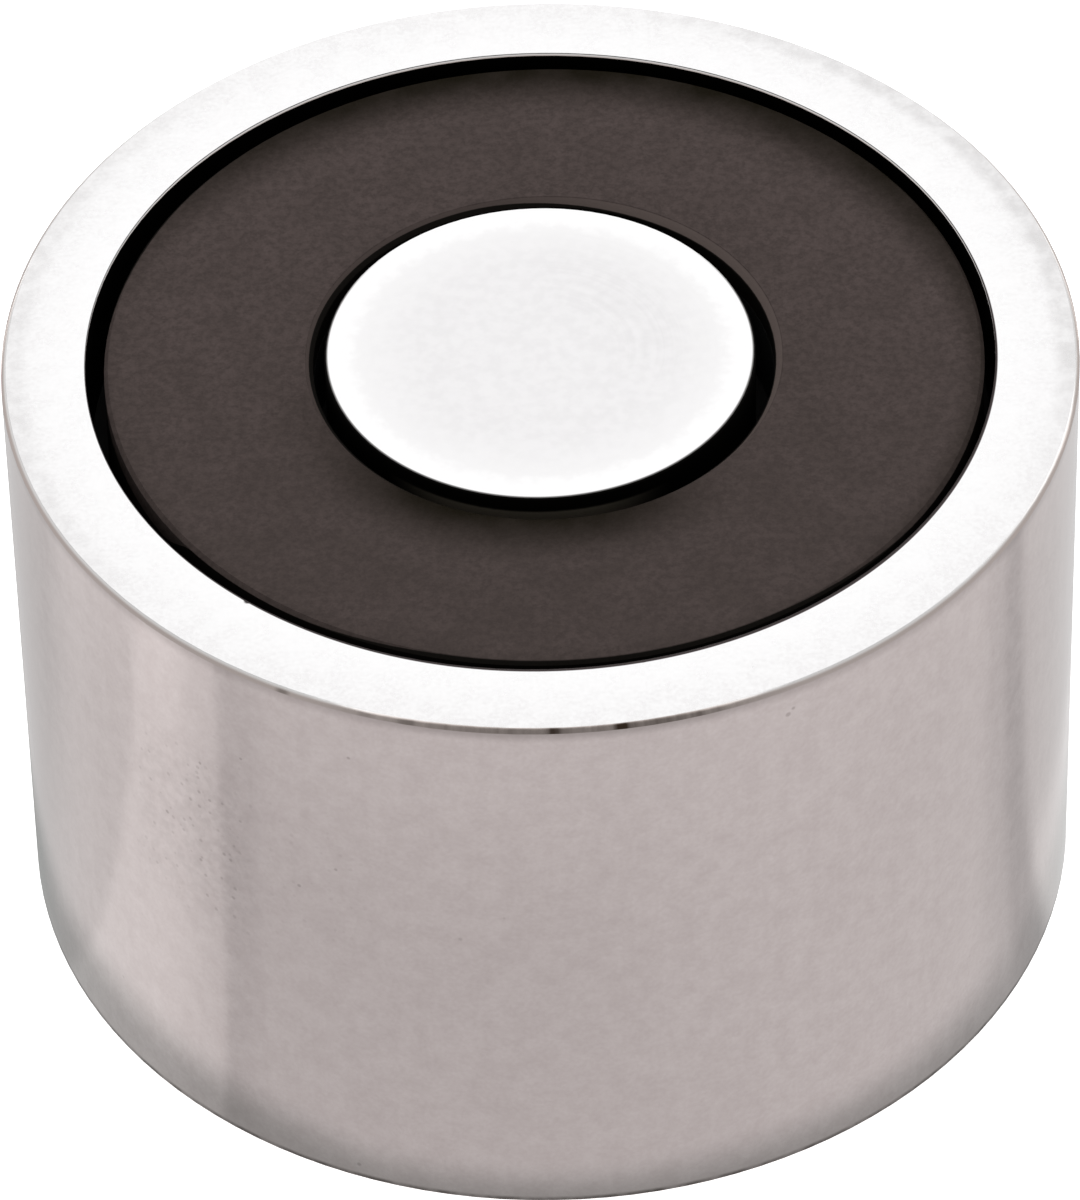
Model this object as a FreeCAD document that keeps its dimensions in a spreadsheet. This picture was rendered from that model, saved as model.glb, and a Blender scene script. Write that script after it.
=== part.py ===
import FreeCAD, Part
import os
import Sketcher

# Electro-permanent holding magnet: a turned steel pot with a flush centre pole, a permanent
# magnet under the pole's foot, and a capped ring coil that cancels the magnet's field.
# Frame: origin at the centre of the base, +Z up to the holding face, leads out at +Y.

# Driving dimensions in millimetres and degrees: name, value, what it measures.
SIZES = [
    # Pot
    ("body_diameter", 55.0, "outside of the pot"),
    ("body_height", 35.0, "base to holding face"),
    ("rim_width", 4.3, "outer pole ring, which is the pot's wall"),
    ("floor_thickness", 10.0, "floor of the pot"),
    ("base_chamfer", 1.0, "outer edge of the base"),
    ("rim_chamfer", 0.25, "outer edge of the holding face"),
    # Mounting thread in the base
    ("thread_diameter", 5.0, "major diameter of the tapped hole"),
    ("thread_depth", 7.0, "full depth of the tapped hole"),
    ("thread_countersink", 0.3, "width of the countersink round the hole"),
    ("countersink_angle", 90.0, "countersink, whole angle"),
    ("drill_point_angle", 118.0, "point of the drill, whole angle"),
    # Permanent magnet, and the non-magnetic ring round it and the pole's foot
    ("magnet_thickness", 4.0, "magnet disc"),
    ("centring_wall", 0.9, "wall of the centring ring"),
    ("ring_clearance", 0.1, "inside and outside the centring ring"),
    ("ring_relief", 0.1, "centring ring below the top of the foot"),
    # Centre pole
    ("pole_diameter", 22.0, "centre pole"),
    ("pole_chamfer", 0.1, "edge of the pole's face"),
    ("foot_thickness", 4.0, "foot plate under the coil"),
    # Washer under the coil
    ("washer_thickness", 0.3, "insulating washer"),
    ("washer_clearance", 0.2, "round the washer, inside and outside"),
    # Ring coil: bobbin, winding, tape and cap
    ("outer_gap", 0.75, "between cap and pot"),
    ("inner_gap", 0.8, "between coil and pole"),
    ("coil_recess", 0.3, "cap below the holding face"),
    ("coil_shift", 0.2, "coil off centre, towards +X"),
    ("cap_lid", 1.6, "cap above the bobbin"),
    ("cap_wall", 0.7, "cap outside the bobbin's flanges"),
    ("cap_chamfer", 0.2, "outer edge of the cap's lid"),
    ("cap_bore_chamfer", 0.4, "inner edge of the cap's lid"),
    ("tube_wall", 0.8, "tube of the bobbin"),
    ("flange_thickness", 1.5, "flanges of the bobbin"),
    ("tape_thickness", 0.3, "tape round the winding"),
    ("tape_margin", 0.8, "winding left bare below the tape"),
    ("layer_clearance", 0.05, "between the layers of the coil"),
    # Terminal pins and the winding's two ends
    ("pin_width", 0.64, "square terminal pin"),
    ("pin_seat_depth", 1.2, "pin in the bobbin's flange"),
    ("pin_spacing", 1.8, "between the two pins"),
    ("pin_inset", 0.65, "pins from the edge of the flange"),
    ("pin_clearance", 0.4, "between the pins and the tape"),
    ("wire_diameter", 0.4, "winding wire"),
    # Resin that holds the coil
    ("bond_depth", 6.0, "resin below the holding face"),
    ("bond_clearance", 0.03, "on each side of the resin"),
    # Lead passage in the rear wall
    ("lead_bore", 3.2, "passage for the leads"),
    ("lead_lift", 0.3, "lead passage above the bobbin's lower flange"),
    ("window_clearance", 0.2, "round the lead passage in cap and resin"),
    ("bush_wall", 1.1, "body of the bush"),
    ("bush_clearance", 0.05, "round the bush"),
    ("bush_end_gap", 0.1, "bush short of the pot's bore"),
    ("bush_mouth", 0.4, "chamfer on the mouth of the bush"),
    ("collar_width", 1.0, "collar of the bush, beyond its body"),
    ("collar_thickness", 0.6, "collar of the bush"),
    ("spot_face_clearance", 0.2, "round the collar"),
    ("spot_face_depth", 1.0, "flat for the collar"),
]

SHEET_NAME = "Sizes"
FULL_TURN = 360
# Two lengths or volumes closer than this are the same
MATCH = 1e-4


class Size:
    """A size as a number and as the formula in the sheet's terms that gives it."""

    def __init__(self, value, formula):
        self.value = value
        self.formula = formula

    def __add__(self, other):
        return Size(self.value + other.value, f"({self.formula} + {other.formula})")

    def __sub__(self, other):
        return Size(self.value - other.value, f"({self.formula} - {other.formula})")

    def __neg__(self):
        return Size(-self.value, f"(-{self.formula})")

    def __mul__(self, factor):
        return Size(self.value * factor, f"({self.formula} * {factor})")

    def __truediv__(self, divisor):
        return Size(self.value / divisor, f"({self.formula} / {divisor})")


ZERO = Size(0.0, "0")


def fill_sheet(document):
    """Spreadsheet of the driving dimensions, and the same as sizes by name."""
    sheet = document.addObject("Spreadsheet::Sheet", SHEET_NAME)
    sizes = {}
    for row, (name, value, meaning) in enumerate(SIZES, start=1):
        sheet.set(f"A{row}", meaning)
        sheet.set(f"B{row}", str(value))
        sheet.setAlias(f"B{row}", name)
        sizes[name] = Size(value, f"{SHEET_NAME}.{name}")
    document.recompute()
    return sizes


def bind(item, attribute, amount):
    """Tie one property of a feature to a size."""
    item.setExpression(attribute, amount.formula)


def new_body(name, x=ZERO, y=ZERO, z=ZERO):
    """A sub-part whose own origin is at a seat of the assembly."""
    body = doc.addObject("PartDesign::Body", name)
    body.Label = name
    for axis, amount in zip("xyz", (x, y, z)):
        if amount is not ZERO:
            bind(body, f"Placement.Base.{axis}", amount)
    pieces.append(body)
    return body


def new_sketch(body, name, plane, offset=ZERO):
    """Sketch on one of the body's own origin planes, or at an offset along its normal."""
    sketch = body.newObject("Sketcher::SketchObject", f"{body.Label}_{name}")
    support = next(item for item in body.Origin.OriginFeatures if item.Role == plane)
    sketch.AttachmentSupport = [(support, "")]
    sketch.MapMode = "FlatFace"
    if offset is not ZERO:
        bind(sketch, "AttachmentOffset.Base.z", offset)
    return sketch


def constrain(sketch, kind, first, second, amount):
    """Dimension between two points of a sketch, tied to a size."""
    number = sketch.addConstraint(Sketcher.Constraint(kind, *first, *second, amount.value))
    bind(sketch, f"Constraints[{number}]", amount)


def place_point(sketch, point, x, y):
    """Hold a point of a sketch at x, y from the sketch's origin."""
    sketch_origin = (-1, 1)
    horizontal_axis = -1
    vertical_axis = -2
    for kind, axis, amount in (("DistanceX", vertical_axis, x), ("DistanceY", horizontal_axis, y)):
        if amount is ZERO:
            sketch.addConstraint(Sketcher.Constraint("PointOnObject", *point, axis))
        elif amount.value < 0:
            constrain(sketch, kind, point, sketch_origin, -amount)
        else:
            constrain(sketch, kind, sketch_origin, point, amount)


def draw_outline(sketch, corners):
    """Closed outline of straight lines through corners given as pairs of sizes."""
    points = [FreeCAD.Vector(x.value, y.value, 0) for x, y in corners]
    ends = points[1:] + points[:1]
    lines = [sketch.addGeometry(Part.LineSegment(*pair), False) for pair in zip(points, ends)]
    next_lines = lines[1:] + lines[:1]
    for line, next_line, (x, y) in zip(lines, next_lines, corners):
        sketch.addConstraint(Sketcher.Constraint("Coincident", line, 2, next_line, 1))
        place_point(sketch, (line, 1), x, y)


def draw_circle(sketch, diameter, x=ZERO, y=ZERO):
    """Circle with its diameter and centre tied to sizes."""
    centre = FreeCAD.Vector(x.value, y.value, 0)
    circle = Part.Circle(centre, FreeCAD.Vector(0, 0, 1), diameter.value / 2)
    number = sketch.addGeometry(circle, False)
    datum = sketch.addConstraint(Sketcher.Constraint("Diameter", number, diameter.value))
    bind(sketch, f"Constraints[{datum}]", diameter)
    place_point(sketch, (number, 3), x, y)


def turn(body, plane, corners):
    """Turned form: a half section revolved about the sketch's vertical axis."""
    sketch = new_sketch(body, "section", plane)
    draw_outline(sketch, corners)
    feature = body.newObject("PartDesign::Revolution", f"{body.Label}_turning")
    feature.Profile = sketch
    feature.ReferenceAxis = (sketch, ["V_Axis"])
    feature.Angle = FULL_TURN
    return feature


def pad(body, sketch, length):
    """Sketch raised along its normal."""
    feature = body.newObject("PartDesign::Pad", f"{body.Label}_pad")
    feature.Profile = sketch
    bind(feature, "Length", length)
    return feature


def cut(body, sketch, name, depth=None):
    """Pocket against the sketch's normal, to a depth or through everything."""
    feature = body.newObject("PartDesign::Pocket", f"{body.Label}_{name}")
    feature.Profile = sketch
    if depth is None:
        feature.Type = "ThroughAll"
    else:
        bind(feature, "Length", depth)


def drill_rear(body, name, diameter, height, x=ZERO, start=ZERO):
    """Round hole from a plane at y = start out through the rear of a piece."""
    sketch = new_sketch(body, f"{name}_circle", "XZ_Plane", -start)
    draw_circle(sketch, diameter, x, height)
    cut(body, sketch, name)


def circle_names(feature, axis, radius, level):
    """Names of the full circles of a radius at a level along the turning axis."""
    doc.recompute()
    names = []
    for number, edge in enumerate(feature.Shape.Edges, start=1):
        curve = edge.Curve
        if not isinstance(curve, Part.Circle):
            continue
        same_radius = abs(curve.Radius - radius.value) < MATCH
        same_level = abs(curve.Center.dot(axis) - level.value) < MATCH
        if same_radius and same_level:
            names.append(f"Edge{number}")
    return names


def chamfer(body, name, feature, circles, amount, axis=FreeCAD.Vector(0, 0, 1)):
    """Chamfer on full circles given as pairs of radius and level."""
    edges = [edge for radius, level in circles for edge in circle_names(feature, axis, radius, level)]
    edge_break = body.newObject("PartDesign::Chamfer", f"{body.Label}_{name}")
    edge_break.Base = (feature, edges)
    bind(edge_break, "Size", amount)
    return edge_break


def make_pot():
    """Turned cup with the mounting thread below and the lead passage at the rear."""
    body = new_body("pot")
    turning = turn(body, "XZ_Plane", [
        (ZERO, ZERO),
        (body_radius, ZERO),
        (body_radius, size["body_height"]),
        (mouth_radius, size["body_height"]),
        (mouth_radius, size["floor_thickness"]),
        (ZERO, size["floor_thickness"]),
    ])
    base = chamfer(body, "base_edge", turning, [(body_radius, ZERO)], size["base_chamfer"])
    chamfer(body, "rim_edge", base, [(body_radius, size["body_height"])], size["rim_chamfer"])
    drill_rear(body, "spot_face", spot_face_diameter, lead_height, start=spot_face_y)
    drill_rear(body, "lead_hole", lead_hole_diameter, lead_height)
    tap_base(body)


def tap_base(body):
    """Blind tapped hole in the middle of the base, at the thread's major diameter."""
    sketch = new_sketch(body, "thread_circle", "XY_Plane")
    draw_circle(sketch, size["thread_diameter"])
    doc.recompute()
    hole = body.newObject("PartDesign::Hole", "pot_thread_hole")
    hole.Profile = sketch
    hole.Reversed = True
    hole.DepthType = "Dimension"
    hole.DrillPoint = "Angled"
    hole.HoleCutType = "Countersink"
    bind(hole, "Diameter", size["thread_diameter"])
    bind(hole, "Depth", size["thread_depth"])
    bind(hole, "DrillPointAngle", size["drill_point_angle"])
    bind(hole, "HoleCutCountersinkAngle", size["countersink_angle"])
    bind(hole, "HoleCutDiameter", size["thread_diameter"] + size["thread_countersink"] * 2)


def make_magnet():
    """Magnet disc on the pot's floor."""
    body = new_body("permanent_magnet", z=size["floor_thickness"])
    sketch = new_sketch(body, "circle", "XY_Plane")
    draw_circle(sketch, foot_radius * 2)
    pad(body, sketch, size["magnet_thickness"])


def make_centring_ring():
    """Ring that centres the magnet and the pole's foot, and keeps the foot off the pot."""
    body = new_body("centring_ring", z=size["floor_thickness"])
    outside = mouth_radius - size["ring_clearance"]
    sketch = new_sketch(body, "circles", "XY_Plane")
    draw_circle(sketch, outside * 2)
    draw_circle(sketch, (outside - size["centring_wall"]) * 2)
    pad(body, sketch, size["magnet_thickness"] + size["foot_thickness"] - size["ring_relief"])


def make_pole():
    """Turned pole with a broad foot plate that lies on the magnet."""
    body = new_body("centre_pole", z=magnet_top)
    face = size["body_height"] - magnet_top
    turning = turn(body, "XZ_Plane", [
        (ZERO, ZERO),
        (foot_radius, ZERO),
        (foot_radius, size["foot_thickness"]),
        (pole_radius, size["foot_thickness"]),
        (pole_radius, face),
        (ZERO, face),
    ])
    chamfer(body, "face_edge", turning, [(pole_radius, face)], size["pole_chamfer"])


def make_washer():
    """Flat insulating washer on the pole's foot."""
    body = new_body("coil_washer", z=foot_top)
    sketch = new_sketch(body, "circles", "XY_Plane")
    draw_circle(sketch, (mouth_radius - size["washer_clearance"]) * 2)
    draw_circle(sketch, (pole_radius + size["washer_clearance"]) * 2)
    pad(body, sketch, size["washer_thickness"])


def make_bobbin():
    """Spool with two flanges. The lower one has blind holes for the pins and a slot for the wire."""
    body = new_body("bobbin", x=size["coil_shift"], z=coil_seat)
    flange_top = size["flange_thickness"]
    upper_flange = bobbin_height - size["flange_thickness"]
    turn(body, "XZ_Plane", [
        (coil_bore_radius, ZERO),
        (flange_radius, ZERO),
        (flange_radius, flange_top),
        (tube_radius, flange_top),
        (tube_radius, upper_flange),
        (flange_radius, upper_flange),
        (flange_radius, bobbin_height),
        (coil_bore_radius, bobbin_height),
    ])
    sketch = new_sketch(body, "pin_outlines", "XY_Plane", flange_top)
    draw_pins(sketch)
    cut(body, sketch, "pin_holes", size["pin_seat_depth"])
    sketch = new_sketch(body, "wire_slot_outline", "XY_Plane", flange_top)
    draw_strip(sketch, start_pin_x, wire_slot, tube_radius, pin_y)
    cut(body, sketch, "wire_slot", wire_slot)


def draw_strip(sketch, x, width, near, far):
    """Rectangle of a width about x, from y = near to y = far."""
    left = x - width / 2
    right = x + width / 2
    draw_outline(sketch, [(left, near), (right, near), (right, far), (left, far)])


def draw_pins(sketch):
    """The squares of the two pins, side by side behind the lead passage."""
    for x in (start_pin_x, finish_pin_x):
        draw_strip(sketch, x, size["pin_width"], pin_near, pin_far)


def make_wound_ring(name, inside, outside, margin=ZERO):
    """Layer of the coil between the bobbin's flanges, with a margin left bare below it."""
    base = winding_base + margin
    body = new_body(name, x=size["coil_shift"], z=coil_seat + base)
    sketch = new_sketch(body, "circles", "XY_Plane")
    draw_circle(sketch, outside * 2)
    draw_circle(sketch, inside * 2)
    pad(body, sketch, bobbin_height - winding_base - base)


def make_winding():
    """Copper winding, and the tape round it that leaves room for the finish tail."""
    make_wound_ring("winding", winding_inside, winding_outside)
    make_wound_ring("winding_tape", tape_inside, tape_outside, size["tape_margin"])


def make_tails():
    """The winding's two ends: the start lies in the flange's slot, the finish leaves below the tape."""
    body = new_body("coil_tails", x=size["coil_shift"], z=coil_seat)
    body.AllowCompound = True
    start_height = size["flange_thickness"] - wire_slot / 2
    finish_height = winding_base + size["tape_margin"] / 2
    for name, x, height, wire_start in (
        ("start", start_pin_x, start_height, winding_inside),
        ("finish", finish_pin_x, finish_height, winding_outside),
    ):
        sketch = new_sketch(body, f"{name}_circle", "XZ_Plane", -wire_start)
        draw_circle(sketch, size["wire_diameter"], x, height)
        tail = pad(body, sketch, pin_near - wire_start)
        tail.Reversed = True


def make_pins():
    """Two square terminal pins that stand in the lower flange, across the lead passage."""
    pin_base = size["flange_thickness"] - size["pin_seat_depth"]
    pin_top = passage_height + size["lead_bore"] / 2
    body = new_body("terminal_pins", x=size["coil_shift"], z=coil_seat + pin_base)
    body.AllowCompound = True
    sketch = new_sketch(body, "outlines", "XY_Plane")
    draw_pins(sketch)
    pad(body, sketch, pin_top - pin_base)


def make_cap():
    """Moulded cap over the wound bobbin: outer wall and lid, with a window for the leads."""
    body = new_body("coil_cap", x=size["coil_shift"], z=coil_seat)
    wall_inside = flange_radius + size["layer_clearance"]
    lid_base = bobbin_height + size["layer_clearance"]
    turning = turn(body, "XZ_Plane", [
        (wall_inside, ZERO),
        (cap_radius, ZERO),
        (cap_radius, coil_height),
        (coil_bore_radius, coil_height),
        (coil_bore_radius, lid_base),
        (wall_inside, lid_base),
    ])
    outer_edge = chamfer(body, "lid_edge", turning, [(cap_radius, coil_height)], size["cap_chamfer"])
    chamfer(body, "bore_edge", outer_edge, [(coil_bore_radius, coil_height)], size["cap_bore_chamfer"])
    drill_rear(body, "lead_window", window_diameter, passage_height, x=-size["coil_shift"])


def make_bonds():
    """Resin in the bottom of the two gaps, thicker on one side because the coil is off centre."""
    clearance = size["bond_clearance"]
    height = size["body_height"] - size["bond_depth"] - coil_seat
    outer = new_body("outer_bond", z=coil_seat)
    sketch = new_sketch(outer, "circles", "XY_Plane")
    draw_circle(sketch, (mouth_radius - clearance) * 2)
    draw_circle(sketch, (cap_radius + clearance) * 2, x=size["coil_shift"])
    pad(outer, sketch, height)
    drill_rear(outer, "lead_window", window_diameter, passage_height)
    inner = new_body("inner_bond", z=coil_seat)
    sketch = new_sketch(inner, "circles", "XY_Plane")
    draw_circle(sketch, (coil_bore_radius - clearance) * 2, x=size["coil_shift"])
    draw_circle(sketch, (pole_radius + clearance) * 2)
    pad(inner, sketch, height)


def make_lead_bush():
    """Flanged bush that lines the lead hole, its collar sunk in the spot face."""
    inner_end = mouth_radius + size["bush_end_gap"]
    body = new_body("lead_bush", y=inner_end, z=lead_height)
    collar_base = spot_face_y - inner_end
    collar_top = collar_base + size["collar_thickness"]
    bore_radius = size["lead_bore"] / 2
    turning = turn(body, "XY_Plane", [
        (bore_radius, ZERO),
        (bush_radius, ZERO),
        (bush_radius, collar_base),
        (collar_radius, collar_base),
        (collar_radius, collar_top),
        (bore_radius, collar_top),
    ])
    along_leads = FreeCAD.Vector(0, 1, 0)
    chamfer(body, "mouth", turning, [(bore_radius, collar_top)], size["bush_mouth"], along_leads)


def check_document():
    """Stop if a feature failed, a cut took nothing away or a piece is no sound solid."""
    for item in doc.Objects:
        if "Invalid" in item.State or "Error" in item.State:
            raise RuntimeError(f"{item.Label} failed: {item.State}")
        if item.TypeId in ("PartDesign::Pocket", "PartDesign::Hole"):
            if item.Shape.Volume >= item.BaseFeature.Shape.Volume - MATCH:
                raise RuntimeError(f"{item.Label} cuts nothing")
    for piece in pieces:
        if piece.Shape.isNull() or not piece.Shape.isValid():
            raise RuntimeError(f"{piece.Label} has no sound shape")


doc = FreeCAD.newDocument("holding_magnet")
size = fill_sheet(doc)
pieces = []

# Radii and levels that several pieces share
body_radius = size["body_diameter"] / 2
mouth_radius = body_radius - size["rim_width"]
pole_radius = size["pole_diameter"] / 2
foot_radius = mouth_radius - size["centring_wall"] - size["ring_clearance"] * 2
magnet_top = size["floor_thickness"] + size["magnet_thickness"]
foot_top = magnet_top + size["foot_thickness"]
coil_seat = foot_top + size["washer_thickness"]

# Ring coil, from its bore outwards
coil_height = size["body_height"] - size["coil_recess"] - coil_seat
bobbin_height = coil_height - size["cap_lid"]
coil_bore_radius = pole_radius + size["inner_gap"]
tube_radius = coil_bore_radius + size["tube_wall"]
winding_base = size["flange_thickness"] + size["layer_clearance"]
winding_inside = tube_radius + size["layer_clearance"]
cap_radius = mouth_radius - size["outer_gap"]
flange_radius = cap_radius - size["cap_wall"]
pin_y = flange_radius - size["pin_inset"]
pin_near = pin_y - size["pin_width"] / 2
pin_far = pin_y + size["pin_width"] / 2
tape_outside = pin_near - size["pin_clearance"]
tape_inside = tape_outside - size["tape_thickness"]
winding_outside = tape_inside - size["layer_clearance"]

# Lead passage above the coil's seat, and the pins that cross it
passage_height = size["flange_thickness"] + size["lead_lift"] + size["lead_bore"] / 2
window_diameter = size["lead_bore"] + size["window_clearance"] * 2
start_pin_x = -size["pin_spacing"] / 2 - size["coil_shift"]
finish_pin_x = size["pin_spacing"] / 2 - size["coil_shift"]
wire_slot = size["wire_diameter"] + size["layer_clearance"] * 2

# Lead passage in the pot's wall
lead_height = coil_seat + passage_height
bush_radius = size["lead_bore"] / 2 + size["bush_wall"]
collar_radius = bush_radius + size["collar_width"]
lead_hole_diameter = (bush_radius + size["bush_clearance"]) * 2
spot_face_y = body_radius - size["spot_face_depth"]
spot_face_diameter = (collar_radius + size["spot_face_clearance"]) * 2

make_pot()
make_magnet()
make_centring_ring()
make_pole()
make_washer()
make_bobbin()
make_winding()
make_tails()
make_pins()
make_cap()
make_bonds()
make_lead_bush()

doc.recompute()
check_document()
os.makedirs("parts", exist_ok=True)
for piece in pieces:
    piece.Shape.exportStep(f"parts/{piece.Label}.step")
    print(f"{piece.Label}: {len(piece.Shape.Solids)} solid, {piece.Shape.Volume:.1f} mm3")
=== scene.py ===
import bmesh
import bpy
import math
from mathutils import Matrix, Vector


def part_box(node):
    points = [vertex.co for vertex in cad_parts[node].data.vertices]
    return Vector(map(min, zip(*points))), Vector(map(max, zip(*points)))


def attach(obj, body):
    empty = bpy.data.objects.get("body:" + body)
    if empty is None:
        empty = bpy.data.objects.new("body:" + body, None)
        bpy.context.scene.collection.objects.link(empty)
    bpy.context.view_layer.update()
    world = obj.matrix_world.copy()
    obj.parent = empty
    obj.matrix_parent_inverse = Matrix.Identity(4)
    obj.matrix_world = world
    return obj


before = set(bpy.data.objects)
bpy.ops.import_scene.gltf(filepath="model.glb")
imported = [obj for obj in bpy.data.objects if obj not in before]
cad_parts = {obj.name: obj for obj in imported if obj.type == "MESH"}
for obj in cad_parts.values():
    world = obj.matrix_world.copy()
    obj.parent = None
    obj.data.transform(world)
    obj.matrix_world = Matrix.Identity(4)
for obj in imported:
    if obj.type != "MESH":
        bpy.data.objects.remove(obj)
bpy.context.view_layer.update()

MM = 0.001

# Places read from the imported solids
BODY_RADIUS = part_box("pot")[1].x
FACE_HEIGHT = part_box("pot")[1].z
FOOT_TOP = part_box("coil_washer")[0].z
CAP_LOW, CAP_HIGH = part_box("coil_cap")
CAP_CENTRE = (CAP_LOW.x + CAP_HIGH.x) / 2
CAP_RADIUS = (CAP_HIGH.x - CAP_LOW.x) / 2

# Mouth of the pot and bore of the cap: the resin bonds stand this far clear of both
BOND_CLEARANCE = 0.03 * MM
MOUTH_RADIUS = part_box("outer_bond")[1].x + BOND_CLEARANCE
INNER_BOND_LOW, INNER_BOND_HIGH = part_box("inner_bond")
CAP_BORE = (INNER_BOND_HIGH.x - INNER_BOND_LOW.x) / 2 + BOND_CLEARANCE

# Sizes of the solids that no box gives
POLE_RADIUS = 11.0 * MM
RIM_CHAMFER = 0.25 * MM

# Thread in the base hole: a blunt ridge whose root is sunk in the wall
THREAD_RADIUS = 2.5 * MM
THREAD_PITCH = 0.8 * MM
THREAD_START = 0.5 * MM
THREAD_TURNS = 7
STEPS_PER_TURN = 40
RIDGE_SINK = 0.02 * MM
RIDGE_HEIGHT = 0.433 * MM
ROOT_HALF_WIDTH = 0.36 * MM
CREST_HALF_WIDTH = 0.08 * MM

# Winding wire
WIRE_PITCH = 0.42 * MM

# Camera that the outlines in the photograph give, for a frame of 1080 by 1200 pixels. The point it aims at
# is given from the middle of the base: along the camera's right and up directions, and upwards.
PHOTO_HEIGHT_PX = 1200
FOCAL_LENGTH_PX = 9346
SENSOR = 36.0
CLIP_START = 10 * MM
CAMERA_DISTANCE = 500.0 * MM
CAMERA_ELEVATION = math.radians(44.02)
CAMERA_ROLL = math.radians(-1.43)
AIM_RIGHT = -0.61 * MM
AIM_UP = 11.78 * MM
AIM_LIFT = 0.93 * MM

# Steps of light round the side wall, from the middle outwards: azimuth in degrees at two heights,
# change of light beyond it, softness, and the share of the change that is lost towards the top
UPPER_HEIGHT = 28.0 * MM
LOWER_HEIGHT = 9.0 * MM
WALL_STEPS = [
    (-31.7, -34.0, -0.08, 2.0 * MM, 0.0),
    (-37.0, -37.9, 0.25, 0.5 * MM, 0.0),
    (-41.6, -42.7, 0.19, 3.5 * MM, 0.0),
    (-49.3, -58.2, -0.22, 1.0 * MM, 0.0),
    (-63.8, -69.0, -0.22, 5.0 * MM, 0.0),
    (10.2, 9.8, 0.12, 25.0 * MM, 0.0),
    (53.5, 54.2, -0.14, 2.0 * MM, 0.0),
    (57.1, 58.9, -0.18, 1.0 * MM, 0.0),
    (60.7, 65.0, 0.46, 1.2 * MM, 0.50),
]

# Each step ends over this distance on both sides of the middle, so that it stays on its half of the floor
STEP_FADE = 20 * MM

# Floor, which lies below the base so that the two faces never share a plane
FLOOR_SIZE = 3.0
FLOOR_DROP = 0.05 * MM
FLOOR_GLOW = 0.85

# Card round the object that the wall mirrors: a ring that clears the base's edge break, the level of its
# light, and the brightest level that its colour can give
CARD_INSIDE = BODY_RADIUS - 0.65 * MM
CARD_OUTSIDE = 600 * MM
CARD_HEIGHT = 0.3 * MM
CARD_STEPS = 96
CARD_LEVEL = 0.72
CARD_PEAK = 1.5

# Room light at the horizon and overhead
HORIZON_LIGHT = 0.80
OVERHEAD_LIGHT = 0.65

# Relief of machined faces, and the rounding of the rim's edges as a multiple of it
TOOL_MARK_DEPTH = 0.001 * MM
EDGE_ROUNDING = 0.035 * MM / TOOL_MARK_DEPTH

# Heights between which the black on the pot's bore begins
BORE_BLACK_NONE = 9.0 * MM
BORE_BLACK_FULL = 9.5 * MM

# Marks of deeper painted shade on the rim's outer edge break: azimuth and half width in degrees, depth of
# tone
EDGE_MARKS = [
    (0.4, 1.0, 0.22),
    (7.4, 1.0, 0.28),
    (13.5, 5.5, 0.10),
    (-28.5, 0.8, 0.30),
    (-19.2, 1.0, 0.10),
    (-14.9, 1.0, 0.15),
]

# Pits in the side wall: azimuth in degrees, height, size
WALL_PITS = [
    (25.3, 33.1 * MM, 0.20 * MM),
    (25.9, 33.4 * MM, 0.14 * MM),
    (-44.8, 22.0 * MM, 0.16 * MM),
    (-27.6, 21.4 * MM, 0.15 * MM),
    (-40.2, 20.0 * MM, 0.14 * MM),
    (-39.5, 27.1 * MM, 0.13 * MM),
    (-23.2, 23.4 * MM, 0.13 * MM),
    (-21.2, 31.6 * MM, 0.13 * MM),
    (-34.0, 28.9 * MM, 0.12 * MM),
    (-22.1, 1.9 * MM, 0.16 * MM),
]

# Width of the rim's inner edge break, which is painted shade at the front, and nicks in it: azimuth in
# degrees, size
MOUTH_EDGE = 0.15 * MM
MOUTH_NICKS = [(11.6, 0.22 * MM), (-39.7, 0.24 * MM)]

# Colours of the pot
PLATING_DARK = (0.54, 0.47, 0.46, 1)
PLATING_PALE = (0.64, 0.57, 0.56, 1)
PIT = (0.30, 0.26, 0.25, 1)
EDGE_HIGHLIGHT = (0.86, 0.84, 0.83, 1)
EDGE_HIGHLIGHT_WARM = (0.84, 0.74, 0.70, 1)
PAINTED_SHADE_DARK = (0.042, 0.028, 0.020, 1)
RIM_PALE = (0.805, 0.80, 0.802, 1)
RIM_DULL = (0.735, 0.725, 0.727, 1)
RIM_WORN = (0.60, 0.59, 0.59, 1)
NICK_AND_SHADE = (0.05, 0.04, 0.04, 1)

# Colours of the pole
POLE_PALE = (0.728, 0.718, 0.723, 1)
POLE_DULL = (0.67, 0.66, 0.665, 1)
POLE_OUTER = (0.765, 0.758, 0.760, 1)
POLE_BORDER = (0.81, 0.805, 0.807, 1)
POLE_EDGE_SHADE = (0.05, 0.045, 0.04, 1)
RESIN_SMEAR = (0.06, 0.05, 0.035, 1)

# Colours of the cap
CAP_DARK = (0.064, 0.0494, 0.0454, 1)
CAP_PALE = (0.086, 0.0656, 0.0618, 1)
CAP_FLECK = (0.046, 0.0355, 0.033, 1)
CAP_EDGE = (0.080, 0.062, 0.057, 1)
CAP_EDGE_LIT = (0.120, 0.094, 0.086, 1)
CAP_SHADOW = (0.007, 0.005, 0.002, 1)
GAP_SHADE = (0.006, 0.005, 0.004, 1)

# Colours of the black walls inside the gaps and of cast resin
DEEP_BLACK = (0.004, 0.0035, 0.003, 1)
RESIN_PALE = (0.007, 0.006, 0.006, 1)

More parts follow.
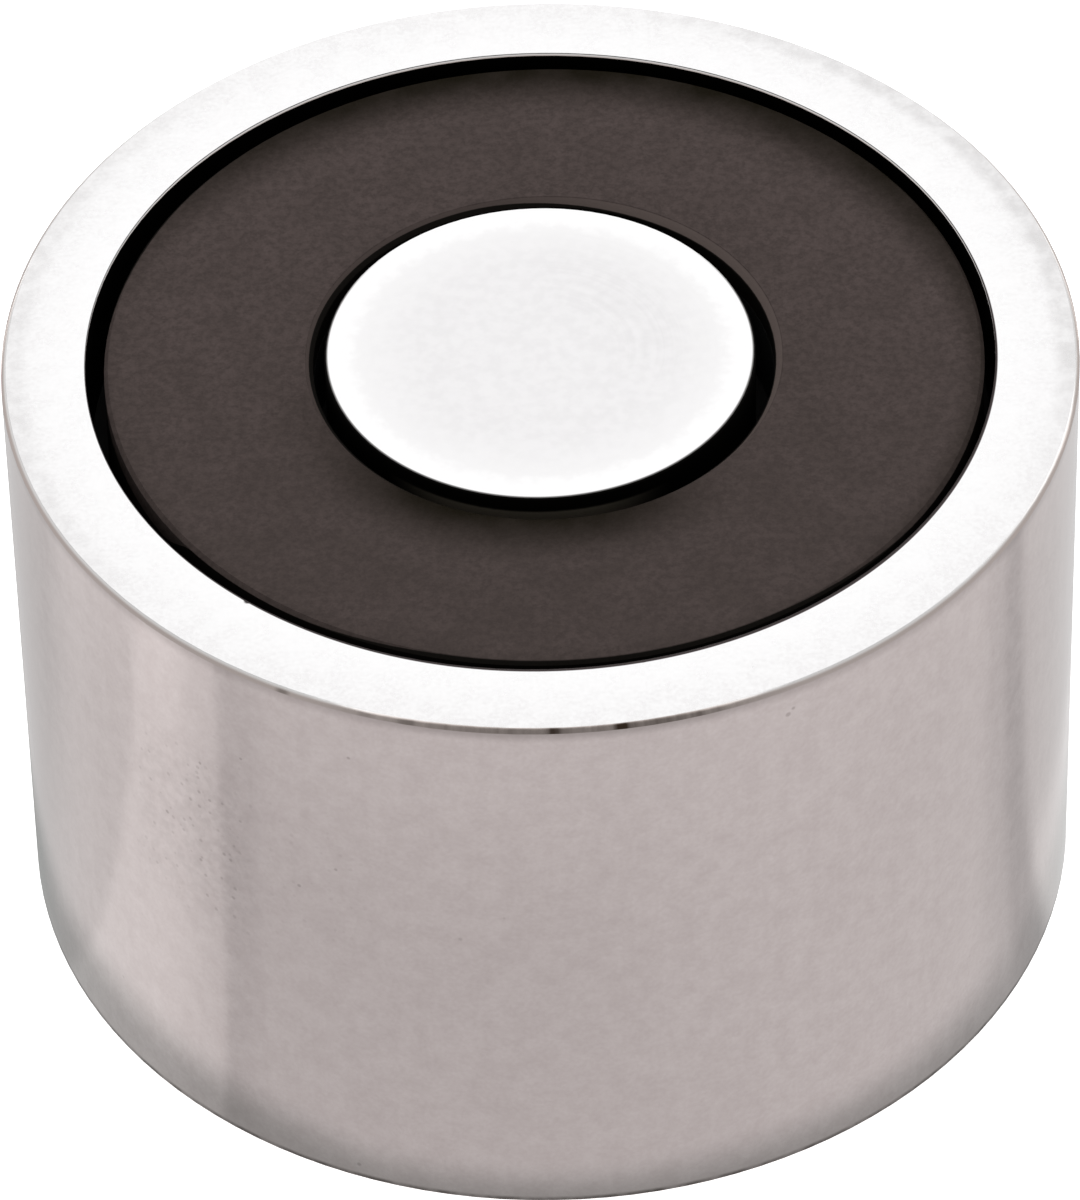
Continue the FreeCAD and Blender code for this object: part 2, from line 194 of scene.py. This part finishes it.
# Colours of the pieces inside
FERRITE_DARK = (0.030, 0.028, 0.028, 1)
FERRITE_PALE = (0.060, 0.056, 0.056, 1)
FERRITE_CHIP = (0.012, 0.011, 0.011, 1)
COPPER_DARK = (0.40, 0.11, 0.04, 1)
COPPER_PALE = (0.70, 0.24, 0.09, 1)
TIN_DULL = (0.56, 0.56, 0.54, 1)
TIN_PALE = (0.72, 0.72, 0.69, 1)
BRASS_DARK = (0.56, 0.38, 0.15, 1)
BRASS_PALE = (0.78, 0.56, 0.26, 1)
WASHER_DARK = (0.52, 0.43, 0.24, 1)
WASHER_PALE = (0.66, 0.56, 0.34, 1)
TAPE_DARK = (0.50, 0.25, 0.02, 1)
TAPE_PALE = (0.66, 0.38, 0.05, 1)

# Tint of the card's light close to the wall
COOL_WHITE = (0.96, 1.0, 0.99, 1)


class Signal:
    """A node socket whose operators add Math nodes to its node tree."""

    def __init__(self, tree, socket=None):
        self.tree = tree
        self.socket = socket

    def node(self, kind, settings=None, output=0, **inputs):
        """A node of a kind: its settings first, then the values or links of its inputs."""
        made = self.tree.nodes.new(kind)
        for name, value in (settings or {}).items():
            setattr(made, name, value)
        for name, value in inputs.items():
            key = int(name[1:]) if name[0] == "_" else name.replace("_", " ")
            if isinstance(value, Signal):
                self.tree.links.new(value.socket, made.inputs[key])
            else:
                made.inputs[key].default_value = value
        return Signal(self.tree, made.outputs[output] if made.outputs else None)

    def math(self, operation, first, second=0.0):
        return self.node("ShaderNodeMath", {"operation": operation}, _0=first, _1=second)

    def __add__(self, other):
        return self.math("ADD", self, other)

    def __radd__(self, other):
        return self.math("ADD", other, self)

    def __sub__(self, other):
        return self.math("SUBTRACT", self, other)

    def __rsub__(self, other):
        return self.math("SUBTRACT", other, self)

    def __mul__(self, other):
        return self.math("MULTIPLY", self, other)

    def __rmul__(self, other):
        return self.math("MULTIPLY", other, self)

    def __truediv__(self, other):
        return self.math("DIVIDE", self, other)

    def step(self, low, high):
        """Smooth step from 0 at low to 1 at high, which may lie either way round."""
        return self.node("ShaderNodeMapRange", {"interpolation_type": "SMOOTHSTEP"},
                         Value=self, From_Min=low, From_Max=high)

    def spread(self):
        """Noise, which keeps close to its middle, drawn out to the whole range from 0 to 1."""
        return self.step(0.3, 0.7)

    def wave(self, length):
        """Wave from 0 to 1 along this signal."""
        return 0.5 + 0.5 * self.math("SINE", self * (math.tau / length))

    def mix(self, first, second):
        """Colour between two colours, with this signal as the factor."""
        # The node has sockets of the same name for other kinds of data, so these are numbered
        return self.node("ShaderNodeMix", {"data_type": "RGBA"}, 2, _0=self, _6=first, _7=second)


class Finish:
    """A new material, with the places on the piece that its patterns read."""

    def __init__(self, name, centre=0.0):
        self.material = bpy.data.materials.new(name)
        self.material.use_nodes = True
        self.material.node_tree.nodes.clear()
        start = Signal(self.material.node_tree)
        place = start.node("ShaderNodeTexCoord", output="Object")
        self.place = start.node("ShaderNodeMapping", Vector=place, Location=(-centre, 0, 0))
        self.x, self.y, self.z = (start.node("ShaderNodeSeparateXYZ", output=axis, Vector=self.place)
                                  for axis in range(3))
        self.radius = start.math("SQRT", self.x * self.x + self.y * self.y)
        self.azimuth = start.math("ARCTAN2", self.x, -1.0 * self.y)

    def towards(self, azimuth):
        """Cosine of the angle round the axis from an azimuth in degrees."""
        azimuth = math.radians(azimuth)
        return (math.sin(azimuth) * self.x - math.cos(azimuth) * self.y) / self.radius

    def noise(self, size, detail=2.0, roughness=0.5):
        """Noise whose lumps have about the given size."""
        return self.place.node("ShaderNodeTexNoise", Vector=self.place,
                               Scale=1 / size, Detail=detail, Roughness=roughness)

    def lines(self, along, size, detail=2.0):
        """Noise that changes only along one signal, as tool marks do. The size is in that signal's unit."""
        return along.node("ShaderNodeTexNoise", {"noise_dimensions": "1D"},
                          W=along, Scale=1 / size, Detail=detail)

    def specks(self, spacing, size, share):
        """Small round specks in a share of the cells of a grid with that spacing."""
        cells = {"Vector": self.place, "Scale": 1 / spacing}
        distance = self.place.node("ShaderNodeTexVoronoi", output="Distance", **cells)
        colour = self.place.node("ShaderNodeTexVoronoi", output="Color", **cells)
        chance = colour.node("ShaderNodeSeparateColor", Color=colour)
        chosen = chance.step(1 - share, 1 - share / 2)
        return distance.step(size / spacing, size / spacing / 2) * chosen

    def spot(self, azimuth, radius, height, size):
        """Soft round spot at a place on the piece."""
        distance = self.place.node("ShaderNodeVectorMath", {"operation": "DISTANCE"}, "Value",
                                   _0=self.place, _1=around(azimuth, radius, height))
        return distance.step(size, 0.4 * size)

    def holding_face(self):
        """Mask of the rim and the pole's face."""
        return self.z.step(FACE_HEIGHT - 0.03 * MM, FACE_HEIGHT - 0.01 * MM)

    def bump(self, height, depth):
        """Normal of a surface whose relief is a signal from 0 to 1 times a depth."""
        return height.node("ShaderNodeBump", Height=height, Distance=depth, Strength=1.0)

    def shade(self, **inputs):
        """Principled shader on the material's output, and the finished material."""
        shader = self.place.node("ShaderNodeBsdfPrincipled", **inputs)
        self.place.node("ShaderNodeOutputMaterial", Surface=shader)
        return self.material


def around(azimuth, radius, height):
    """Place round the axis. Azimuth counts in degrees from the front, to the right."""
    azimuth = math.radians(azimuth)
    return Vector((radius * math.sin(azimuth), -radius * math.cos(azimuth), height))


def grey(level):
    """Neutral colour."""
    return (level, level, level, 1)


def pot_finish():
    """Satin plated steel with a ground rim, and walls inside the mouth coloured black."""
    finish = Finish("pot_steel")
    face = finish.holding_face()
    base = finish.z.step(0.02 * MM, 0.01 * MM)
    bore = finish.radius.step(MOUTH_RADIUS + 0.04 * MM, MOUTH_RADIUS + 0.01 * MM)
    inside = bore * finish.z.step(BORE_BLACK_NONE, BORE_BLACK_FULL)
    inside = inside * finish.z.step(FACE_HEIGHT - MOUTH_EDGE, FACE_HEIGHT - 1.2 * MOUTH_EDGE)
    mottle = finish.noise(1.2 * MM, detail=4.0, roughness=0.6).spread()
    grain = finish.noise(0.25 * MM).spread()
    streaks = finish.lines(finish.azimuth, 0.03, detail=3.0)
    peel = finish.noise(0.8 * MM, detail=1.0)

    # Plated wall with pits and streaks, and a scuffed patch on one side
    scuffed = finish.towards(-42).step(0.985, 0.998) + 0.35 * finish.towards(-29).step(0.975, 0.995)
    scuffed = scuffed * finish.z.step(13 * MM, 19 * MM) * finish.z.step(31 * MM, 25 * MM)
    blotch = finish.noise(0.55 * MM).step(0.35, 0.65)
    pits = 0.3 * finish.specks(spacing=2.2 * MM, size=0.15 * MM, share=0.3) + 0.18 * scuffed * blotch
    pits = pits + 0.35 * scuffed * finish.specks(spacing=0.5 * MM, size=0.15 * MM, share=0.6)
    for azimuth, height, size in WALL_PITS:
        pits = pits + 0.5 * finish.spot(azimuth, BODY_RADIUS, height, size)
    tone = 0.35 * mottle + 0.25 * grain + 0.10 * blotch + 0.25 * streaks
    plating = tone.mix(PLATING_DARK, PLATING_PALE)
    plating = pits.mix(plating, PIT)

    # Painted highlight on the edge break round the rim, warmer low down at the front, rounded into the face
    up_edge = finish.place.math("MAXIMUM", (finish.z - FACE_HEIGHT + RIM_CHAMFER) / RIM_CHAMFER, 0.0)
    on_edge = up_edge.step(0.0, 0.05)
    front = finish.azimuth.step(-0.50, -0.10) * finish.azimuth.step(0.52, 0.18)
    low_edge = (up_edge - 0.35 * front).step(0.85, 0.35)
    plating = on_edge.mix(plating, low_edge.mix(EDGE_HIGHLIGHT, EDGE_HIGHLIGHT_WARM))

    # Painted shade along that edge, darkest in marks at the front where the edge break mirrors the dark in
    # front of it, with a thin painted shade below it and a painted contact shadow at the foot
    broken = 0.5 + finish.lines(finish.azimuth, 0.02, detail=3.0)
    rim_shade = 0.40 + 0.32 * front * broken
    for azimuth, width, depth in EDGE_MARKS:
        half_width = math.radians(width)
        offset = finish.place.math("ABSOLUTE", finish.azimuth - math.radians(azimuth))
        rim_shade = depth * offset.step(1.4 * half_width, 0.2 * half_width) + rim_shade
    rim_shade = rim_shade * on_edge * low_edge
    under_rim = finish.z.step(FACE_HEIGHT - 0.95 * MM, FACE_HEIGHT - RIM_CHAMFER)
    foot = finish.z.step(1.35 * MM, 1.10 * MM) * finish.z.step(0.6 * MM, 0.9 * MM)
    darkened = (1 - on_edge) * under_rim * (0.22 + 0.12 * front) + rim_shade + foot * (0.3 + 0.5 * mottle)
    plating = darkened.mix(plating, PAINTED_SHADE_DARK)

    # Ground rim, greyer towards its outer edge as painted shade where the face rolls off, and worn there on
    # two sides
    to_edge = finish.radius.step(MOUTH_RADIUS + 0.5 * MM, BODY_RADIUS - 0.2 * MM)
    worn = finish.radius.step(BODY_RADIUS - 1.6 * MM, BODY_RADIUS - 0.7 * MM) * (0.35 + 0.65 * mottle)
    worn = worn * (finish.towards(118).step(0.55, 0.95) + 0.6 * finish.towards(-96).step(0.60, 0.95))
    dull = 0.5 * grain * mottle + to_edge * (0.2 + 0.4 * mottle + 0.4 * grain)
    ground = dull.mix(RIM_PALE, RIM_DULL)
    ground = worn.mix(ground, RIM_WORN)

    # Nicks in the mouth's edge, and painted shade along that edge at the front
    nicks_and_shade = 0.0
    for azimuth, size in MOUTH_NICKS:
        nicks_and_shade = finish.spot(azimuth, MOUTH_RADIUS, FACE_HEIGHT, size) + nicks_and_shade
    shaded = finish.place.math("MAXIMUM", finish.towards(30), 0.0)
    nicks_and_shade = nicks_and_shade + (finish.radius - MOUTH_EDGE * shaded).step(MOUTH_RADIUS + 0.05 * MM, MOUTH_RADIUS)
    ground = nicks_and_shade.mix(ground, NICK_AND_SHADE)

    # Grinding lines on the flat faces, tool lines and orange peel on the wall, rounded edges
    flat = face + base
    relief = flat * finish.lines(finish.radius, 0.10 * MM)
    relief = relief + (1 - flat) * (0.2 * finish.lines(finish.z, 0.12 * MM) + 0.8 * peel)
    relief = relief - EDGE_ROUNDING * up_edge * up_edge * (1 + 3 * bore)
    return finish.shade(
        Base_Color=inside.mix(face.mix(plating, ground), DEEP_BLACK),
        Metallic=1.0,
        Roughness=0.10 + 0.06 * mottle + 0.12 * flat + 0.45 * inside,
        Normal=finish.bump(relief, TOOL_MARK_DEPTH),
    )


def pole_finish():
    """Turned and ground steel, its side coloured black between the coil and the face."""
    finish = Finish("pole_steel")
    face = finish.holding_face()
    darkened = (1 - face) * finish.z.step(FOOT_TOP + 0.2 * MM, FOOT_TOP + 0.4 * MM)
    mottle = finish.noise(0.6 * MM, detail=3.0).spread()
    tool = finish.lines(finish.radius, 0.35 * MM, detail=3.0).spread()
    marks = tool * finish.towards(125).step(0.4, 0.9) * finish.radius.step(2 * MM, 5 * MM)

    # Brighter towards the edge, with a clean border, and painted shade at the edge itself except on the far
    # side
    ground = (0.6 * mottle + 0.4 * marks).mix(POLE_PALE, POLE_DULL)
    ground = (0.8 * finish.radius.step(6.0 * MM, 9.8 * MM)).mix(ground, POLE_OUTER)
    border = (finish.radius + 0.5 * MM * mottle).step(POLE_RADIUS - 1.7 * MM, POLE_RADIUS - 0.8 * MM)
    ground = border.mix(ground, POLE_BORDER)
    edge = finish.radius.step(POLE_RADIUS - 0.20 * MM, POLE_RADIUS - 0.12 * MM)
    edge = edge * finish.towards(0).step(-0.8, -0.3)
    ground = (0.85 * edge).mix(ground, POLE_EDGE_SHADE)

    # Resin that has climbed the pole's side at the front
    climbed = finish.z.step(FACE_HEIGHT - 0.8 * MM, FACE_HEIGHT - 1.0 * MM)
    smear = finish.towards(-5).step(0.75, 0.97) * climbed * darkened
    side = smear.mix(DEEP_BLACK, RESIN_SMEAR)
    return finish.shade(
        Base_Color=darkened.mix(ground, side),
        Metallic=1 - smear,
        Roughness=0.28 + 0.04 * mottle + 0.45 * darkened,
        Normal=finish.bump(finish.lines(finish.radius, 0.15 * MM), TOOL_MARK_DEPTH),
    )


def cap_finish():
    """Matt moulded resin with a fine grain, and painted light and shadow along some of its edges."""
    finish = Finish("cap_resin", CAP_CENTRE)
    grain = finish.noise(0.16 * MM, detail=3.0, roughness=0.6).spread()
    fleck = finish.noise(0.4 * MM).spread()
    tone = finish.noise(2.5 * MM, detail=3.0).spread()
    paler = finish.towards(180).step(-0.9, 0.2)
    colour = (0.5 * tone + 0.5 * paler).mix(CAP_DARK, CAP_PALE)
    colour = (0.3 * grain + 0.5 * fleck).mix(colour, CAP_FLECK)

    # Edge break of the bore, with painted light on its right side
    right = finish.towards(120).step(0.2, 0.9)
    at_bore = finish.radius.step(CAP_BORE + 2.0 * MM, CAP_BORE + 1.0 * MM)
    edge_break = at_bore * finish.z.step(CAP_HIGH.z - 0.02 * MM, CAP_HIGH.z - 0.06 * MM)
    colour = edge_break.mix(colour, right.mix(CAP_EDGE, CAP_EDGE_LIT))

    # Painted shadow, widest at the far side of the outer edge, where the rim shades it, and in front of the
    # bore, where the pole shades it
    far = finish.towards(172).step(-0.05, 0.95)
    outer = ((CAP_RADIUS - finish.radius) / (1.4 * MM + 2.6 * MM * far)).step(1.0, 0.0)
    inner = ((finish.radius - CAP_BORE) / (4.0 * MM)).step(1.0, 0.0)
    near = 0.60 * finish.towards(-8).step(0.60, 0.97) + 0.32 * finish.towards(-20).step(0.30, 0.85)
    beside = finish.towards(95).step(0.55, 0.97) * (1 - far)
    cap_shadow = outer * (0.12 + 0.86 * far + 0.35 * beside) + inner * (0.05 + near)
    colour = (cap_shadow * (0.9 + 0.2 * tone)).mix(colour, CAP_SHADOW)

    # Painted shade: the cap's edges and sides below its top are black down both gaps
    rim_side = finish.towards(95).step(0.4, 0.9) + finish.towards(-65).step(0.6, 0.95)
    bulge = finish.towards(-70).step(0.955, 0.985)
    drop = 0.03 * MM + at_bore * (0.16 * MM + 0.17 * MM * right)
    drop = drop + (1 - at_bore) * (0.2 * MM * rim_side + 1.0 * MM * bulge)
    lid = (finish.z + drop).step(CAP_HIGH.z - 0.02 * MM, CAP_HIGH.z + 0.02 * MM)
    return finish.shade(
        Base_Color=lid.mix(GAP_SHADE, colour),
        Roughness=0.72 + 0.12 * grain,
        Specular_IOR_Level=0.05,
        Normal=finish.bump(grain, 0.006 * MM),
    )


def magnet_finish():
    """Ground hard ferrite: dark, with a fine grain and straight grinding marks."""
    finish = Finish("magnet_ferrite")
    grain = finish.noise(0.12 * MM, detail=3.0, roughness=0.7)
    marks = finish.lines(finish.x, 0.2 * MM, detail=3.0)
    chips = finish.specks(spacing=1.6 * MM, size=0.15 * MM, share=0.3)
    colour = (0.6 * grain + 0.4 * marks).mix(FERRITE_DARK, FERRITE_PALE)
    return finish.shade(
        Base_Color=(0.6 * chips).mix(colour, FERRITE_CHIP),
        Metallic=0.3,
        Roughness=0.45 + 0.2 * grain,
        Normal=finish.bump(0.5 * grain + 0.5 * marks, 0.004 * MM),
    )


def turned_finish(name, dark, pale):
    """Bare metal with tool lines round its axis and a light tarnish."""
    finish = Finish(name)
    tool = finish.lines(finish.z, 0.12 * MM, detail=3.0)
    tarnish = finish.noise(2.0 * MM, detail=3.0)
    return finish.shade(
        Base_Color=(0.5 * tool + 0.5 * tarnish).mix(dark, pale),
        Metallic=1.0,
        Roughness=0.25 + 0.2 * tarnish,
        Normal=finish.bump(tool, 0.004 * MM),
    )


def film_finish(name, dark, pale, roughness):
    """Thin plastic film with faint ripples along its run."""
    finish = Finish(name)
    ripple = finish.lines(finish.z + finish.radius, 0.5 * MM, detail=3.0)
    cloud = finish.noise(1.5 * MM, detail=3.0)
    return finish.shade(
        Base_Color=(0.6 * cloud + 0.4 * ripple).mix(dark, pale),
        Roughness=roughness + 0.15 * cloud,
        Normal=finish.bump(ripple, 0.01 * MM),
    )


def wire_finish():
    """Enamelled copper wire laid turn by turn."""
    finish = Finish("winding_copper")
    turns = 0.5 * finish.z.wave(WIRE_PITCH) + 0.5 * finish.radius.wave(WIRE_PITCH)
    enamel = finish.noise(1.0 * MM, detail=3.0)
    return finish.shade(
        Base_Color=(0.6 * turns + 0.4 * enamel).mix(COPPER_DARK, COPPER_PALE),
        Metallic=1.0,
        Roughness=0.28 + 0.15 * enamel,
        Coat_Weight=0.5,
        Coat_Roughness=0.15,
        Normal=finish.bump(turns, 0.12 * MM),
    )


def moulded_finish(name, dark, pale):
    """Moulded plastic with a fine spark-eroded grain and slow flow marks."""
    finish = Finish(name)
    grain = finish.noise(0.10 * MM, detail=3.0, roughness=0.6)
    flow = finish.noise(2.0 * MM)
    return finish.shade(
        Base_Color=(0.5 * grain + 0.5 * flow).mix(dark, pale),
        Roughness=0.48 + 0.15 * grain,
        Specular_IOR_Level=0.3,
        Normal=finish.bump(grain, 0.008 * MM),
    )


def pin_finish():
    """Tinned pins with lines from the drawing die."""
    finish = Finish("pin_tin")
    drawn = finish.lines(finish.x + finish.y, 0.06 * MM, detail=3.0)
    dull = finish.noise(0.4 * MM, detail=3.0)
    return finish.shade(
        Base_Color=dull.mix(TIN_DULL, TIN_PALE),
        Metallic=1.0,
        Roughness=0.25 + 0.2 * dull,
        Normal=finish.bump(drawn, 0.003 * MM),
    )


def resin_finish():
    """Black cast resin with slow waves and small bubbles at its surface."""
    finish = Finish("bond_resin")
    waves = finish.noise(1.5 * MM)
    bubbles = finish.specks(spacing=0.9 * MM, size=0.10 * MM, share=0.4)
    return finish.shade(
        Base_Color=waves.mix(DEEP_BLACK, RESIN_PALE),
        Roughness=0.45 + 0.2 * waves,
        Specular_IOR_Level=0.1,
        Normal=finish.bump(waves - bubbles, 0.03 * MM),
    )


def dress(material, *nodes):
    """Carried-over solids take a material."""
    for node in nodes:
        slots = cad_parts[node].data.materials
        slots.clear()
        slots.append(material)


def new_piece(name, mesh, material):
    """An object at the origin from a finished bmesh."""
    data = bpy.data.meshes.new(name)
    mesh.to_mesh(data)
    mesh.free()
    data.materials.append(material)
    piece = bpy.data.objects.new(name, data)
    bpy.context.scene.collection.objects.link(piece)
    return piece


def add_thread():
    """Ridge of the tapped hole's thread, its root in the wall."""
    mesh = bmesh.new()
    root = THREAD_RADIUS + RIDGE_SINK
    crest = THREAD_RADIUS - RIDGE_HEIGHT
    outline = [
        (root, -ROOT_HALF_WIDTH),
        (crest, -CREST_HALF_WIDTH),
        (crest, CREST_HALF_WIDTH),
        (root, ROOT_HALF_WIDTH),
    ]
    corners = [mesh.verts.new((radius, 0, THREAD_START + height)) for radius, height in outline]
    face = mesh.faces.new(corners)
    rise = Vector((0, 0, THREAD_PITCH / STEPS_PER_TURN))
    bmesh.ops.spin(mesh, geom=[face], cent=(0, 0, 0), axis=(0, 0, 1), dvec=rise,
                   angle=math.tau * THREAD_TURNS, steps=STEPS_PER_TURN * THREAD_TURNS)
    bmesh.ops.recalc_face_normals(mesh, faces=mesh.faces)
    thread = new_piece("thread_ridge", mesh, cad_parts["pot"].data.materials[0])
    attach(thread, "root")


def camera_axes():
    """The camera's right, up and backward directions, and its place."""
    back = Vector((0, -math.cos(CAMERA_ELEVATION), math.sin(CAMERA_ELEVATION)))
    right = Matrix.Rotation(CAMERA_ROLL, 3, back) @ Vector((1, 0, 0))
    up = back.cross(right)
    aim = AIM_RIGHT * right + AIM_UP * up + Vector((0, 0, AIM_LIFT))
    return right, up, back, aim + CAMERA_DISTANCE * back


def add_camera():
    """Camera at the place from which the photograph was taken."""
    right, up, back, eye = camera_axes()
    place = Matrix((right, up, back)).transposed().to_4x4()
    place.translation = eye
    data = bpy.data.cameras.new("camera")
    data.sensor_width = SENSOR
    data.lens = FOCAL_LENGTH_PX / PHOTO_HEIGHT_PX * SENSOR
    data.clip_start = CLIP_START
    camera = bpy.data.objects.new("camera", data)
    camera.matrix_world = place
    bpy.context.scene.collection.objects.link(camera)
    bpy.context.scene.camera = camera


def add_floor():
    """Plain white floor with a glow of its own, painted shade under the base, and clear for a view from
    below.
    """
    finish = Finish("floor")
    start = finish.place
    open_floor = finish.radius.step(BODY_RADIUS - 2.0 * MM, BODY_RADIUS - 1.0 * MM)
    white = start.node(
        "ShaderNodeBsdfPrincipled",
        Base_Color=open_floor.mix(grey(0.4), grey(0.95)),
        Roughness=0.9,
        Specular_IOR_Level=0.0,
        Emission_Color=open_floor.mix(grey(0.7), grey(1.0)),
        Emission_Strength=FLOOR_GLOW,
    )
    clear = start.node("ShaderNodeBsdfTransparent")
    underside = start.node("ShaderNodeNewGeometry", output="Backfacing")
    shade = start.node("ShaderNodeMixShader", _0=underside, _1=white, _2=clear)
    start.node("ShaderNodeOutputMaterial", Surface=shade)
    mesh = bmesh.new()
    bmesh.ops.create_grid(mesh, x_segments=1, y_segments=1, size=FLOOR_SIZE,
                          matrix=Matrix.Translation((0, 0, -FLOOR_DROP)))
    new_piece("floor", mesh, finish.material)


def floor_point(azimuth, height):
    """Place on the floor that the camera sees mirrored in the side wall at an azimuth and a height."""
    eye = camera_axes()[3]
    wall = around(azimuth, BODY_RADIUS, height)
    outward = Vector((wall.x, wall.y, 0)).normalized()
    ray = wall - eye
    mirrored = ray - 2 * ray.dot(outward) * outward
    return wall - mirrored * (wall.z / mirrored.z)


def beyond_line(finish, upper, lower, softness):
    """Step across the floor line that the wall mirrors between an upper and a lower azimuth."""
    far = floor_point(upper, UPPER_HEIGHT)
    near = floor_point(lower, LOWER_HEIGHT)
    along = (far - near).normalized()
    side = math.copysign(1.0, upper)
    across = side * (along.x * (finish.y - near.y) - along.y * (finish.x - near.x))
    return across.step(-softness, softness) * finish.x.step(-side * STEP_FADE, side * STEP_FADE)


def card_finish():
    """Glow of the card: bands of light, dimmer and cooler close to the wall and brighter far out."""
    finish = Finish("table_card")
    level = 1.0
    to_top = finish.radius.step(BODY_RADIUS + 1.5 * MM, BODY_RADIUS + 7 * MM)
    for upper, lower, gain, softness, loss in WALL_STEPS:
        level = gain * beyond_line(finish, upper, lower, softness) * (1 - loss * to_top) + level
    strip = finish.radius - 0.8 * MM * finish.towards(-50).step(0.85, 1.0)
    off_wall = strip.step(BODY_RADIUS + 0.5 * MM, BODY_RADIUS + 3.5 * MM)
    off_wall = off_wall + 0.5 * (1 - off_wall) * finish.towards(85).step(0.85, 0.97)
    far = finish.radius.step(BODY_RADIUS + 16 * MM, BODY_RADIUS + 36 * MM)
    far_gain = 0.14 - 0.07 * finish.towards(47).step(0.66, 0.92)
    level = CARD_LEVEL * level * (0.60 + 0.40 * off_wall) * (1 + far_gain * far)
    tint = off_wall.mix(COOL_WHITE, grey(1.0))
    colour = (level / CARD_PEAK).mix(grey(0.0), tint)
    glow = finish.place.node("ShaderNodeEmission", Color=colour, Strength=CARD_PEAK)
    finish.place.node("ShaderNodeOutputMaterial", Surface=glow)
    finish.material.cycles.emission_sampling = "NONE"
    return finish.material


def add_table_card():
    """Card on the floor round the object that only mirrored rays see: it gives the wall its bands."""
    mesh = bmesh.new()
    start = mesh.verts.new((CARD_INSIDE, 0, CARD_HEIGHT))
    end = mesh.verts.new((CARD_OUTSIDE, 0, CARD_HEIGHT))
    profile = [start, end, mesh.edges.new((start, end))]
    bmesh.ops.spin(mesh, geom=profile, cent=(0, 0, 0), axis=(0, 0, 1),
                   angle=math.tau, steps=CARD_STEPS, use_merge=True)
    card = new_piece("table_card", mesh, card_finish())
    card.visible_camera = False
    card.visible_diffuse = False
    card.visible_shadow = False
    card.visible_transmission = False


def add_light(name, azimuth, elevation, distance, width, height, radiance):
    """Soft box that faces the object."""
    data = bpy.data.lights.new(name, "AREA")
    data.shape = "RECTANGLE"
    data.size = width
    data.size_y = height
    data.energy = radiance * width * height * math.pi
    elevation = math.radians(elevation)
    back = around(azimuth, math.cos(elevation), math.sin(elevation))
    light = bpy.data.objects.new(name, data)
    light.matrix_world = back.to_track_quat("Z", "Y").to_matrix().to_4x4()
    light.location = back * distance
    light.visible_camera = False
    bpy.context.scene.collection.objects.link(light)


def add_world():
    """Pale room, brighter near the horizon."""
    world = bpy.data.worlds.new("studio")
    world.use_nodes = True
    world.node_tree.nodes.clear()
    start = Signal(world.node_tree)
    direction = start.node("ShaderNodeTexCoord", output="Generated")
    height = start.node("ShaderNodeSeparateXYZ", output="Z", Vector=direction)
    room = height.step(0.1, 0.8).mix(grey(HORIZON_LIGHT), grey(OVERHEAD_LIGHT))
    shade = start.node("ShaderNodeBackground", Color=room, Strength=1.0)
    start.node("ShaderNodeOutputWorld", Surface=shade)
    bpy.context.scene.world = world


# Finishes of the carried-over solids, and the thread in the base
dress(pot_finish(), "pot")
dress(pole_finish(), "centre_pole")
dress(cap_finish(), "coil_cap")
dress(magnet_finish(), "permanent_magnet")
dress(turned_finish("centring_brass", BRASS_DARK, BRASS_PALE), "centring_ring")
dress(film_finish("washer_film", WASHER_DARK, WASHER_PALE, roughness=0.45), "coil_washer")
dress(moulded_finish("bobbin_plastic", dark=grey(0.008), pale=grey(0.014)), "bobbin")
dress(wire_finish(), "winding", "coil_tails")
dress(film_finish("tape_film", TAPE_DARK, TAPE_PALE, roughness=0.22), "winding_tape")
dress(pin_finish(), "terminal_pins")
dress(resin_finish(), "outer_bond", "inner_bond")
dress(moulded_finish("bush_plastic", dark=grey(0.014), pale=grey(0.024)), "lead_bush")
add_thread()

# Camera, surroundings and light
add_camera()
add_floor()
add_table_card()
add_world()
add_light("rear_box", azimuth=165, elevation=46, distance=0.7, width=1.4, height=0.7, radiance=0.575)
add_light("top_box", azimuth=0, elevation=88, distance=0.8, width=0.8, height=0.8, radiance=0.7)
bpy.context.scene.view_settings.view_transform = "Standard"
